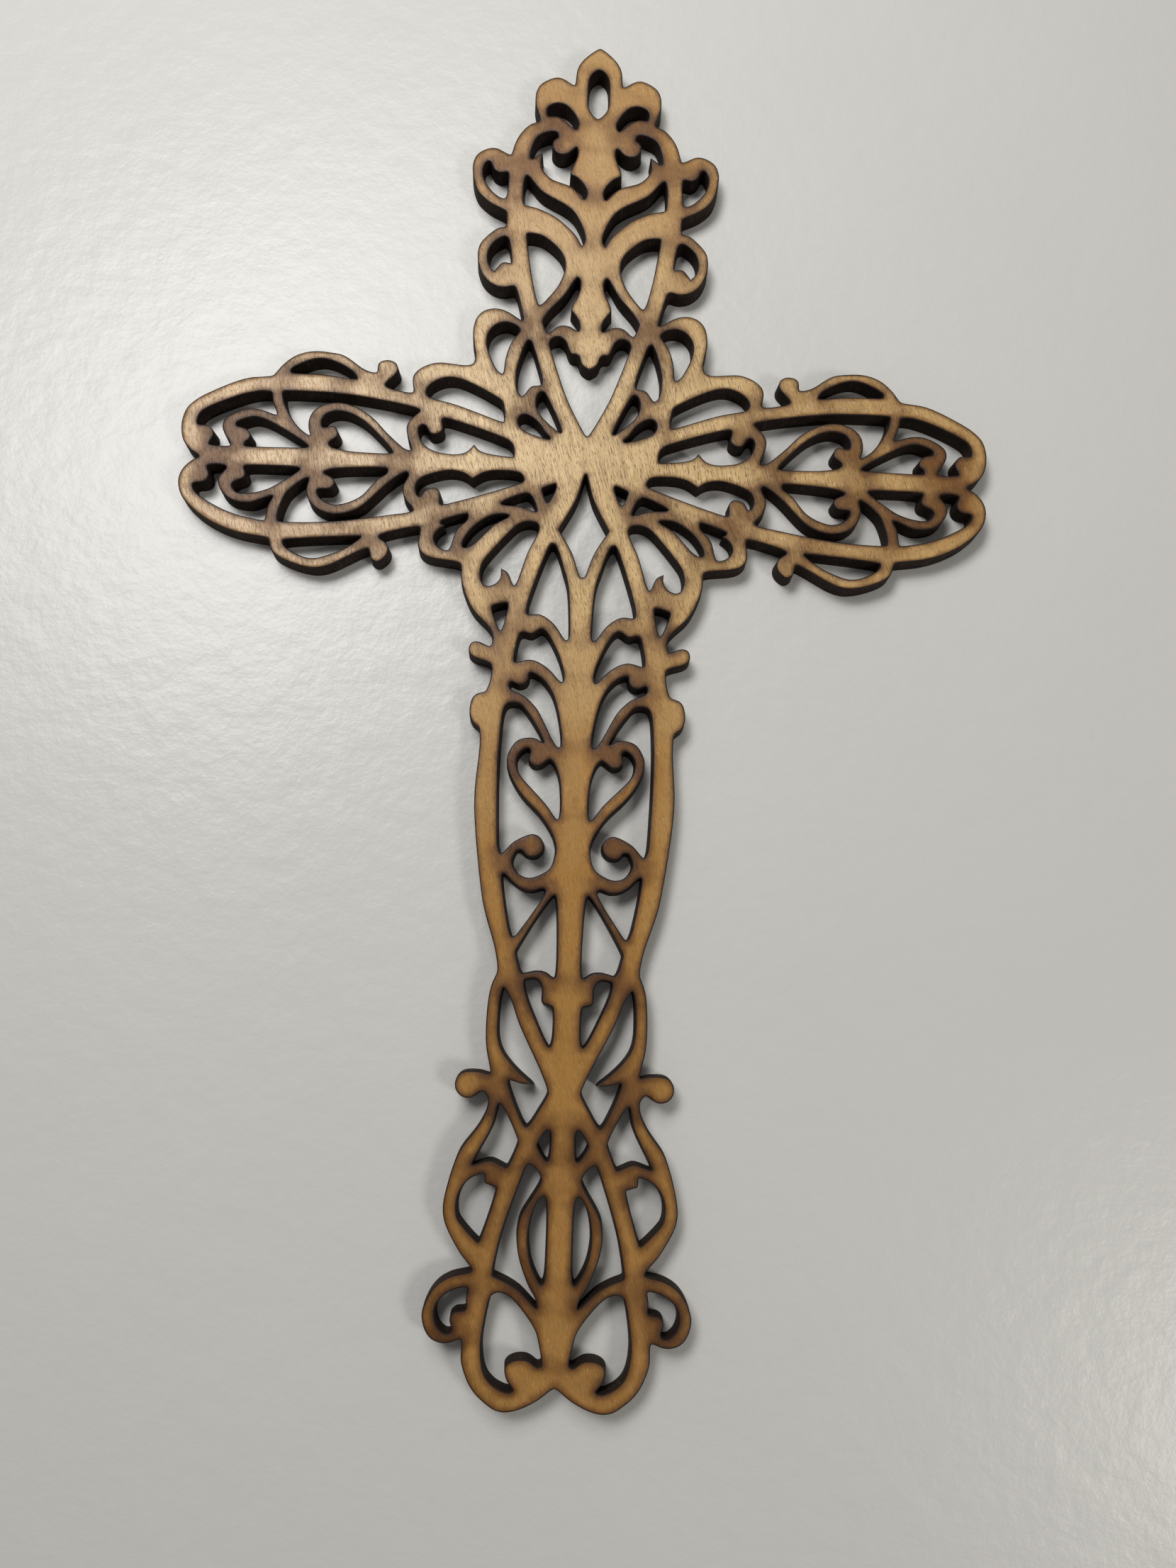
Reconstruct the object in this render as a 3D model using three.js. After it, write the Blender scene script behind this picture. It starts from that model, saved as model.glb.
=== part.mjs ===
// A filigree cross cut right through one sheet of thin plywood, lying on its back.
// Millimetres. +Z comes out of the face, +Y runs up to the finial, X runs across the arms.
// The origin is on the back, in the solid spot between the V window and the diamond window.
import * as THREE from 'three';

// Driving dimensions
const HEIGHT = 203.2; // from the tip of the finial to the lowest point of the foot
const THICKNESS = 3; // of the sheet
const CURVE_TOLERANCE = 0.095; // furthest that a straight piece of an outline strays from its curve

// How the outlines below are drawn
const DRAWN_HEIGHT = 203.28;
const SCALE = HEIGHT / DRAWN_HEIGHT;
const SAMPLES_PER_SPAN = 8; // along the curve between two drawn points, before it is thinned
const ROUNDING_PER_STEP = 0.2; // a corner rounded over more than this takes two straight pieces
const ARC_STEP = 45; // degrees between the points of a round stretch

const WOOD = { color: 0xb08a55, roughness: 0.6, metalness: 0 };

// [x, y] is a point of a smooth stretch. [x, y, r] is a corner, rounded off over r.
// Every outline has at least one corner.

// Points of a circle's arc between two angles in degrees, clockwise where the second is lower.
function arc(x, y, radius, from, to) {
  const steps = Math.ceil(Math.abs(to - from) / ARC_STEP);
  return Array.from({ length: steps + 1 }, (_, step) => {
    const angle = THREE.MathUtils.degToRad(from + ((to - from) * step) / steps);
    return [x + radius * Math.cos(angle), y + radius * Math.sin(angle)];
  });
}

// The same outline on the other side of the centre line.
function mirrored(outline) {
  return outline.map(([x, ...rest]) => [-x, ...rest]);
}

// A whole outline from its right half, which starts and ends on the centre line or beside it.
function symmetric(half) {
  const besideCentre = half.filter(([x]) => x > 0);
  return [...half, ...mirrored(besideCentre).reverse()];
}

// Edge of the cross, right half, from the tip down to the notch of the foot

const FINIAL_EDGE = [
  [0, 69.75, 0.1], [1.5, 68.6], [2.7, 67.35], [3.42, 66], [3.7, 64.6], [3.85, 62.75, 0.15],
  [4.5, 63.1], [5.6, 63.8], [6.65, 64.08], [8, 63.6], [9.2, 62.75], [9.85, 61.5], [10.03, 60],
  [9.85, 58.6], [9.35, 57.3], [9.12, 56.15, 0.15], [10.4, 55.57], [12, 53.85], [12.9, 51.95],
  [13.45, 49.85, 0.1],
];

const EARS_EDGE = [
  [14.3, 50.22], [15.4, 50.8], [16.4, 50.93], [17.7, 50.5], [18.8, 49.55], [19.3, 48.2],
  [19.35, 46.7], [19, 44.9], [18.3, 43.15], [17.2, 41.95], [15.7, 40.9], [14.4, 40.27],
  [13.75, 39.95, 0.25], [13.63, 39], [13.75, 37.3, 0.15], [14.6, 37.15], [15.5, 36.6],
  [16.8, 35.2], [17.6, 34.1], [17.85, 32.6], [17.7, 30.9], [17.2, 29.4], [16.2, 28],
  [14.9, 27.17], [13.4, 26.96], [12.5, 27.18], [11.8, 27.2, 0.2], [11.4, 25.7], [10.7, 23.3],
  [10.38, 21.5, 0.2],
];

const SHOULDER_EDGE = [
  [11.2, 21.85], [12.6, 22.8], [14, 23.3], [15.4, 23.28], [16.7, 22.67], [17.6, 21.4],
  [17.93, 19.6], [17.85, 17.9], [17.5, 16.3], [17.4, 14.9], [17.6, 14.15], [18.2, 13.8],
  [19.3, 13.7], [21, 13.9], [22.5, 14], [24, 13.7], [25.4, 13], [26.4, 12], [26.65, 11],
  [26.5, 10], [26.4, 8.9, 0.3], [27.3, 8.88], [28.5, 9.22],
];

const UPPER_ARM_EDGE = [
  [29.8, 9.4], [30.4, 9.58], [30.75, 9.95, 0.15], [30.4, 10.5], [29.5, 11.35], [28.95, 12.4],
  [29.2, 13.4], [30.1, 13.95], [31.1, 13.95], [31.9, 13.4], [32.08, 12.5], [32.1, 11.85, 0.15],
  [33.2, 12], [34.6, 12.65], [35.9, 13.6], [37, 14.35], [38.8, 14.77], [41.2, 14.97],
  [43, 14.7], [44.6, 14], [46, 12.8], [47, 11.6], [47.6, 10.65, 0.15],
];

const ARM_TIP_EDGE = [
  [49.2, 10.5], [51.5, 10.05], [54, 9.05], [56.5, 7.75], [58.7, 6.3], [60, 4.85], [60.55, 2.9],
  [60.5, 1.2], [60.1, -0.3], [59.1, -1.65], [57.45, -2.75, 0.1], [58.6, -3.5], [59.7, -4.7],
  [60.22, -6.1], [60.15, -7.6], [59.5, -9.2], [58.2, -10.7], [56.4, -12.1], [54, -13.4],
  [51.5, -14.3], [48.5, -14.9], [46.3, -15.15, 0.35],
];

const LOWER_ARM_EDGE = [
  [46.1, -16.1], [45.6, -17.2], [44.6, -18], [42.8, -18.77], [41, -19.3], [39, -19.47],
  [37.2, -18.97], [35, -17.9], [33, -16.8], [31.6, -16.05, 0.15], [31.38, -16.9],
  [31, -17.85], [30.2, -18.17], [29.3, -17.65], [28.7, -16.6], [28.85, -15.5], [29.6, -14.72],
  [30.35, -14.2, 0.15], [29.3, -13.7], [27.5, -13.12], [25.7, -12.7], [24.2, -12.45, 0.15],
];

const FLANK_EDGE = [
  [24.3, -13.7], [24.4, -14.8], [24.15, -16], [23.3, -16.85], [22, -17.28], [20, -17.57],
  [17.9, -17.9, 0.15], [17.92, -19.1], [17.65, -20.8], [16.9, -22.9], [15.9, -24.8],
  [14.7, -26.2], [13.5, -27.3], [12.85, -28.3], [12.76, -29.3], [12.95, -30.4, 0.2],
  [13.9, -29.97], [14.9, -29.67], [15.7, -29.85], [16.12, -30.6], [15.95, -31.5],
  [15.2, -32.13], [13.9, -32.57], [12.7, -32.95, 0.2], [12.7, -34.2], [12.85, -35.6],
  [13.35, -37.1, 0.3], [14.6, -37.5], [15.2, -38.1], [15.55, -39.6], [15.45, -40.9],
  [15, -41.75], [14.1, -42.4, 0.4],
];

const SHAFT_EDGE = [
  [13.88, -43.6], [13.88, -45.5], [14.05, -48.2], [14.25, -51.5], [14.15, -54.8],
  [13.8, -57.9], [13.3, -61.5], [12.8, -65.1], [12.2, -68], [11.3, -70.9], [10.4, -73.7],
  [9.98, -75.7], [9.92, -77], [10.45, -78.3], [10.85, -79.9], [11.08, -83], [11.08, -85.5],
  [10.8, -88], [10.15, -90.75, 0.1], [11.4, -90.48], ...arc(13.15, -92.2, 1.82, 104, -111),
  [11.25, -92.95, 0.2],
];

const SKIRT_EDGE = [
  [10.55, -93.6], [10.3, -94.4], [10.6, -95.8], [11.5, -97.6], [12.7, -99.3], [13.7, -100.6],
  [14.4, -102.2], [15.1, -104.5], [15.6, -106.8], [15.75, -108.4], [15.4, -110.2],
  [14.3, -112.25], [12.9, -114.4], [11.35, -116.2, 0.1],
];

const FOOT_EDGE = [
  [13, -116.55], [14.9, -117.25], [16.3, -118.3], [17.3, -119.9], [17.8, -121.6],
  [17.5, -123.3], [16.6, -124.65], [15.2, -125.25], [13.8, -125.15], [12.5, -124.65, 0.2],
  [12.5, -126.5], [12.1, -128.4], [11, -130.6], [9.4, -132.25], [7.8, -133.25],
  [6.3, -133.53], [4.6, -133.17], [2.5, -132.2], [1, -131.2], [0, -130.45, 0.15],
];

const EDGE = [
  ...FINIAL_EDGE, ...EARS_EDGE, ...SHOULDER_EDGE, ...UPPER_ARM_EDGE, ...ARM_TIP_EDGE,
  ...LOWER_ARM_EDGE, ...FLANK_EDGE, ...SHAFT_EDGE, ...SKIRT_EDGE, ...FOOT_EDGE,
];

// Windows on the centre line, right halves

const CENTRE_WINDOWS = {
  finialEye: [
    [0, 65.87, 0.2], [1, 65.1], [1.55, 63.9], [1.67, 61.5], [1.5, 58.7], [0.75, 57.5],
    [0, 56.95],
  ],
  vAroundPendant: [
    [0, 13.8, 0.1], [0.7, 14.15], [1.3, 14.8], [1.6, 15.8], [2, 16.25, 0.15], [2.75, 16.3],
    [3.2, 16.8], [3.5, 17.7], [4, 18.65], [4.9, 19.08], [5.8, 18.75], [6.2, 18], [6.05, 17.2],
    [5.55, 15.6], [5, 13.95], [4.2, 11.5], [3, 8.4], [1.6, 5.65], [0.6, 3.7], [0, 2.85, 0.2],
  ],
  diamond: [
    [0, -3, 0.1], [0.45, -4.4], [1.3, -7.3], [2.4, -9.5], [3.7, -11.98, 0], [2.6, -13.75],
    [1.5, -15.9], [0.8, -17.9], [0.3, -19.3, 0.1],
  ],
};

// Windows beside the centre line, right side

const HEAD_WINDOWS = {
  lobeBean: [
    [3.35, 54.78, 0.25], [3, 55.7], [3.3, 56.8], [4, 57.95], [5, 59.05], [6.15, 59.43],
    [7.4, 59.08], [8, 58.45], [8.05, 57.5], [7.93, 57.02, 0.15], [6.4, 57.02], [5.2, 56.4],
    [4.3, 55.5],
  ],
  scroll: [
    [6.3, 54.25, 0.3], [7, 54.38], [8.3, 54.03], [9.3, 53.4], [9.87, 52.37], [10.3, 50.8],
    [10.47, 49.8], [10.35, 49.35, 0.25], [10, 49.37], [9.3, 49.95], [8.73, 50.34],
    [8.48, 50.42, 0.05], [8.65, 49.2], [8.55, 48], [8.07, 47.03], [7, 45.97], [5.27, 45.37],
    [4, 44.85], [2.93, 44], [1.87, 42.8], [1.67, 42.52, 0.2], [1.3, 43.5], [1.6, 44.75],
    [2.87, 46.3], [4.08, 47, 0.1], [3.53, 48.5], [3.04, 50.2], [2.97, 51.1],
    [3.15, 51.8, 0.25], [3.6, 51.5], ...arc(5.38, 51.98, 1.64, -127, 62),
  ],
  sSlot: [
    [10.95, 46.5, 0.2], [11.2, 45.1], [11.28, 43.5], [11.2, 41.9], [11, 41.25, 0.3],
    [10.5, 41.07], [9.3, 40.85], [7.9, 40.28], [6.2, 39.45], [4.7, 38.2], [3.3, 36.9],
    [2.33, 35.6], [1.8, 34.5, 0.25], [1.37, 35.5], [1.6, 37], [2.3, 38.75], [3.3, 40.4],
    [4.07, 41.13], [5.6, 42.1], [7.27, 43], [8.5, 43.8], [9.6, 45], [10.4, 46.1],
  ],
  upperEar: [
    [17, 48.58], [17.5, 47.95], [17.75, 46.9], [17.6, 45.7], [16.93, 44.4], [15.8, 43],
    [14.5, 42.22], [13.95, 42.25, 0.2], [13.75, 43.5], [13.7, 45.5], [13.75, 46.8, 0.15],
    [14.3, 46.82], [15.1, 46.66], [15.9, 47.1], [16.35, 47.9], [16.6, 48.45],
  ],
  lowerEar: [
    [13.75, 35.65], [14.7, 35.2], [15.7, 34.2], [16.25, 32.8], [16.2, 31.2], [15.6, 30],
    [15.2, 29.65], [14.9, 29.9], [14.5, 30.7], [13.95, 31.15], [13.3, 31.22],
    [12.7, 31.08, 0.15], [12.6, 31.5], [12.9, 33], [13.07, 34.2], [13.2, 35.2],
  ],
  teardrop: [
    [10.45, 36.35, 0.35], [9, 36.25], [7.8, 35.9], [6.3, 34.75], [5.1, 33.5], [4.4, 32],
    [4.3, 30.6], [4.65, 29.1], [5.5, 27.2], [6.8, 25.5], [7.6, 24.45], [7.97, 24.2, 0.25],
    [8.3, 24.7], [8.8, 26.8], [9.4, 29.3], [9.85, 32], [10.2, 34.5],
  ],
  besidePendant: [
    [2.3, 29.15], [2.8, 28.5], [3.9, 26.5], [5.15, 24.85], [6.4, 23.4], [7.2, 22.1],
    [7.42, 21.55, 0.15], [7, 20.5], [6.7, 19.8], [6.5, 19.5, 0.15], [5.9, 20.1], [5.1, 20.75],
    [4.2, 21.03], [3.2, 20.85], [2.3, 20.3], [1.75, 20.15, 0.2], [1.7, 21], [2.1, 22.3],
    [2.7, 23.1], [3.1, 23.6, 0.15], [3, 24.3], [2.4, 25.5], [1.95, 26.8], [1.8, 28.1],
    [1.95, 28.9],
  ],
  narrowLeaf: [
    [9.4, 18.32], [9.85, 17.7], [10.35, 16.1], [10.8, 14.4], [11.05, 12.6], [11, 11.2],
    [10.75, 10], [10.4, 9.3], [9.98, 9.02, 0.15], [9.5, 9.55], [9.1, 10.25], [8.6, 10.75],
    [7.9, 10.9], [7.15, 10.95, 0.2], [7.15, 12.1], [7.6, 13.8], [8.2, 15.8], [8.75, 17.5],
    [9.05, 18.15],
  ],
  shoulder: [
    [10.7, 19.75, 0.3], [11.7, 18.4], [12.4, 16.8], [12.85, 14.8], [12.95, 13.3],
    [13.1, 12.5, 0.25], [13.8, 12.95], [14.6, 14.2], [15.3, 15.8], [15.75, 17.5],
    [15.7, 18.8], [15.15, 19.95], [14.2, 20.8], [13, 21.13], [11.8, 20.85], [11, 20.35],
  ],
};

const HUB_WINDOWS = {
  largeDrop: [
    [6.95, 9.95], [7.55, 9.6], [7.85, 8.6], [7.8, 7.5], [7.2, 6.2], [6.2, 5.1], [4.9, 3.95],
    [3.75, 3.25, 0.2], [4.3, 4.4], [5, 6.2], [5.7, 7.8], [6.3, 9.2],
  ],
  smallDrop: [
    [5.3, 2.25, 0.2], [6.3, 3.3], [7, 4.4], [8.2, 5.55], [9.3, 6.1], [10.1, 5.9],
    [10.5, 5.1], [10.25, 4.2], [9.5, 3.45], [8, 2.83], [6.6, 2.45],
  ],
  longSlot: [
    [12.6, 4.65, 0.3], [12.55, 5.9], [12.75, 7.3], [13, 8.15, 0.3], [14.7, 9.2], [17, 10.4],
    [19.3, 11.35], [21, 11.6], [22.6, 11.2], [24, 10.2], [24.48, 9.2], [24.35, 8.6],
    [23.9, 8.22], [22, 7.8], [19.2, 6.97], [15.7, 5.77],
  ],
  upperCusp: [
    [10.9, -0.85, 0.25], [10.88, 0.2], [11.2, 1.2], [12, 1.9], [14.8, 2.82], [18.4, 4.1],
    [20.5, 4.75], [21.9, 4.95, 0.2], [21.7, 3.9], [21.7, 3.1], [22.2, 2.5], [23, 2.28],
    [23.7, 2.6], [24.1, 3.35], [24.6, 3.72], [25.1, 3.5], [25.33, 2.8], [25, 1.5],
    [24.2, 0.4], [22.7, -0.42], [20.6, -0.77], [19, -0.72], [17.8, -0.2], [16.87, 0.9, 0],
    [16.2, 0.1], [15, -0.4], [12.9, -0.68],
  ],
  lowerCusp: [
    [9.2, -4.4], [9.5, -3.65], [10.3, -3.23], [12.5, -3.13], [14.2, -3.22], [15.5, -3.68],
    [16.87, -4.6, 0], [17.7, -3.95], [19.5, -3.42], [21.3, -3.57], [23, -4.1], [24.5, -4.8],
    [25.15, -5.7], [25.2, -6.8], [24.9, -7.5], [24.55, -7.72], [24.2, -7.4], [24, -6.85],
    [23.3, -6.42], [22.3, -6.24], [21.75, -6.6], [21.45, -7.4], [21.55, -8.6, 0.15],
    [21.25, -8.88, 0.15], [19.4, -8.3], [15.2, -6.88], [11.5, -5.55], [10, -5], [9.4, -4.75],
  ],
  chip: [
    [4.45, -4.75, 0.25], [5.1, -5.1], [6.5, -5.65, 0.25], [6.2, -6.6], [5.8, -7.6],
    [5.5, -7.95, 0.15], [5.15, -7.4], [4.7, -6.3], [4.35, -5.4],
  ],
  wedge: [
    [8.6, -6.5], [9.3, -6.6], [10.5, -7.3], [11.8, -7.87], [12.6, -8.3, 0.2], [11.8, -8.5],
    [10.1, -8.56], [8.7, -8.85], [7.05, -9.4, 0.15], [7.3, -8.2], [7.9, -7],
  ],
  hookedDrop: [
    [6.65, -11.8], [7, -11.15], [8, -10.93], [9.2, -11.15], [10.3, -12], [11.7, -13.6],
    [13.6, -16], [14.6, -17.4], [15, -18.9], [14.9, -20.1], [14.4, -21], [13.7, -21.2],
    [12.9, -20.9], [12.2, -20.2], [11.95, -19.4], [12, -18.4, 0], [11.3, -18.75],
    [10.7, -19.4], [10.3, -20.4], [9.98, -21.05, 0.15], [9.6, -20.4], [9.1, -18.6],
    [8.4, -16.4], [7.5, -14.1], [6.9, -12.9],
  ],
  leaf: [
    [11, -10.15, 0.15], [12, -9.93], [13.6, -10.17], [15.2, -11.1], [16.6, -12.4],
    [17.6, -14], [17.88, -14.9], [17.7, -15.35], [17.2, -15.35], [16, -14.6],
    [14.6, -13.05], [13.2, -11.55], [12, -10.75],
  ],
  flank: [
    [17.25, -10.05, 0.25], [18.4, -10.35], [20, -10.95], [21.2, -11.4, 0.15],
    [21.15, -11.8], [20.6, -12.1, 0.05], [21.3, -12.6], [22, -13.5], [22.1, -14.3],
    [21.6, -15.25], [20.7, -15.8], [19.75, -15.92, 0.2], [19.4, -14.4], [18.9, -12.9],
    [18.1, -11.8], [17.3, -10.95],
  ],
};

const ARM_WINDOWS = {
  upperField: [
    [25.2, 6, 0.25], [25.7, 6.33], [28.4, 6.88], [31.8, 7.42], [35.8, 8.03], [39.5, 8.25],
    [43.3, 8.3], [46, 8.2, 0.25], [45.85, 7], [45.3, 5.6], [44.2, 3.75], [43, 2.3],
    [41.4, 1.2, 0.15], [41.72, 2.4], [41.75, 3.7], [41.3, 5], [40.2, 6.05], [38.7, 6.62],
    [37, 6.72], [35.2, 6.3], [33.4, 5.35], [31.9, 4.22], [30.3, 2.5], [28.4, 0.75],
    [27.2, -0.2], [26.2, -0.5, 0.2], [26.4, 0.5], [26.95, 2], [27.1, 3.4], [26.6, 4.5],
    [25.9, 5.25],
  ],
  upperInnerHeart: [
    [28.8, -0.95, 0.1], [30.2, 0.5], [31.8, 2.25], [33.2, 3.65], [34.9, 4.72], [36.6, 5.33],
    [38.2, 5.28], [39.3, 4.72], [39.85, 3.7], [39.75, 2.65, 0.2], [39, 2.7], [38.2, 2.92],
    [37.6, 2.6], [37.28, 1.9], [37.4, 1.25], [38, 0.8], [38.62, 0.2, 0.15], [38.2, -0.35],
    [37, -0.75], [35, -1.02], [33, -1.1], [30.5, -1.02],
  ],
  upperOuterHeart: [
    [41.35, -0.6, 0.1], [43, 0.45], [45, 1.65], [46.9, 2.92], [48.5, 3.62], [50, 3.87],
    [51.2, 3.55], [52.3, 3], [52.5, 2.6], [52.35, 2.25, 0.15], [51.5, 2.15], [50.8, 1.75],
    [50.25, 0.95], [50.4, 0.25], [50.9, -0.15], [51.1, -0.85, 0.25], [48, -0.87],
    [44.5, -0.8],
  ],
  upperTip: [
    [47.55, 8, 0.35], [48.6, 8.12], [50.3, 7.87], [52.5, 7.15], [54.8, 6.12], [56.8, 5.1],
    [57.9, 4.2], [58.3, 3.1], [58.25, 2.3, 0.3], [57.3, 2.23], [56.6, 2.2], [56.05, 1.75],
    [55.72, 0.95], [55.85, 0.2], [56.2, -0.3], [56.3, -0.85, 0.25], [54.8, -0.88],
    [53, -0.9, 0.15], [53.4, 0], [54.15, 1.1], [54.52, 2.3], [54.2, 3.35], [53.2, 4.15],
    [51.8, 4.88], [50.4, 5.17], [48.7, 5], [47.4, 4.52], [46.5, 4.3, 0.25], [46.9, 5.5],
    [47.35, 6.6],
  ],
  upperRim: [
    [34.95, 10.68, 0.15], [35.6, 11.75], [37, 12.65], [38.9, 13.5], [40.6, 13.77],
    [42.3, 13.4], [44, 12.52], [44.85, 11.98], [45, 11.55], [44.9, 11.2, 0.25],
    [43, 11.24], [39.5, 11.12], [37, 10.9],
  ],
  lowerField: [
    [26.6, -3.95], [27.2, -4.1], [28.6, -5.15], [30, -6.4], [31.6, -8.25], [33, -9.6],
    [34.8, -10.6], [36.9, -11], [38.8, -10.65], [40.3, -9.72], [41.15, -8.4],
    [41.35, -7.1], [41.1, -6], [41.15, -5.45, 0.25], [41.8, -5.65], [43, -6.7],
    [44.2, -7.95], [44.9, -9.7], [45.3, -11.4], [45.25, -12.45, 0.35], [43.5, -12.53],
    [40.6, -12.42], [36.5, -12.05], [32.5, -11.4], [28.4, -10.7], [25.2, -9.95, 0.2],
    [26.2, -8.9], [26.95, -7.6], [27.1, -6.3], [26.8, -5.2], [26.4, -4.4],
  ],
  lowerInnerHeart: [
    [29.5, -3.4, 0.35], [31.5, -3.45], [34.5, -3.6], [37, -3.85], [38.5, -4.2],
    [39.05, -4.55, 0.15], [38.4, -4.88], [37.6, -5.35], [37.25, -6], [37.5, -6.7],
    [38.1, -7.1], [39, -7.2], [39.75, -7.2, 0.15], [39.65, -8], [38.9, -8.85],
    [37.7, -9.43], [36.5, -9.5], [35, -9.05], [33.6, -8.3], [32.4, -7.2], [31.4, -5.8],
    [30.5, -4.8], [29.6, -4.2],
  ],
  lowerOuterHeart: [
    [42.4, -4.1, 0.2], [42.9, -3.93], [46, -3.83], [49, -3.9], [50.85, -3.95, 0.25],
    [50.7, -4.6], [50.48, -5.3], [50.7, -5.85], [51.3, -6.2], [52.1, -6.58], [52.37, -7],
    [52.1, -7.7], [51.5, -8.22], [50.5, -8.33], [48.8, -8.08], [47.1, -7.5], [45.6, -6.6],
    [44.2, -5.45], [43.1, -4.62],
  ],
  lowerTip: [
    [46.1, -8.5, 0.3], [46.8, -8.6], [48.2, -9.28], [49.5, -9.73], [51, -9.72],
    [52.6, -9.22], [53.8, -8.15], [54.4, -6.8], [54.3, -5.8], [53.8, -5.1],
    [53.3, -4.4, 0.25], [53.6, -4.05], [55, -3.93], [56.3, -4.15, 0.2], [56, -4.9],
    [55.85, -5.6], [56.05, -6.3], [56.6, -6.75], [57.4, -6.92], [58.15, -7.05, 0.2],
    [57.9, -8], [57, -8.95], [55.5, -9.85], [53.5, -10.87], [51, -11.75], [48.8, -12.2],
    [47.1, -12.45, 0.3], [46.97, -11.5], [46.8, -10.1], [46.4, -9.2],
  ],
  lowerRim: [
    [32.7, -14.3, 0.25], [34.2, -14.38], [37, -14.72], [40, -15], [43, -15.22],
    [44.2, -15.35, 0.25], [44.1, -16], [43.2, -16.8], [42, -17.45], [40.6, -17.9],
    [39.2, -17.93], [37.6, -17.42], [35.8, -16.65], [34.3, -15.7], [33.3, -14.95],
  ],
};

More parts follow.
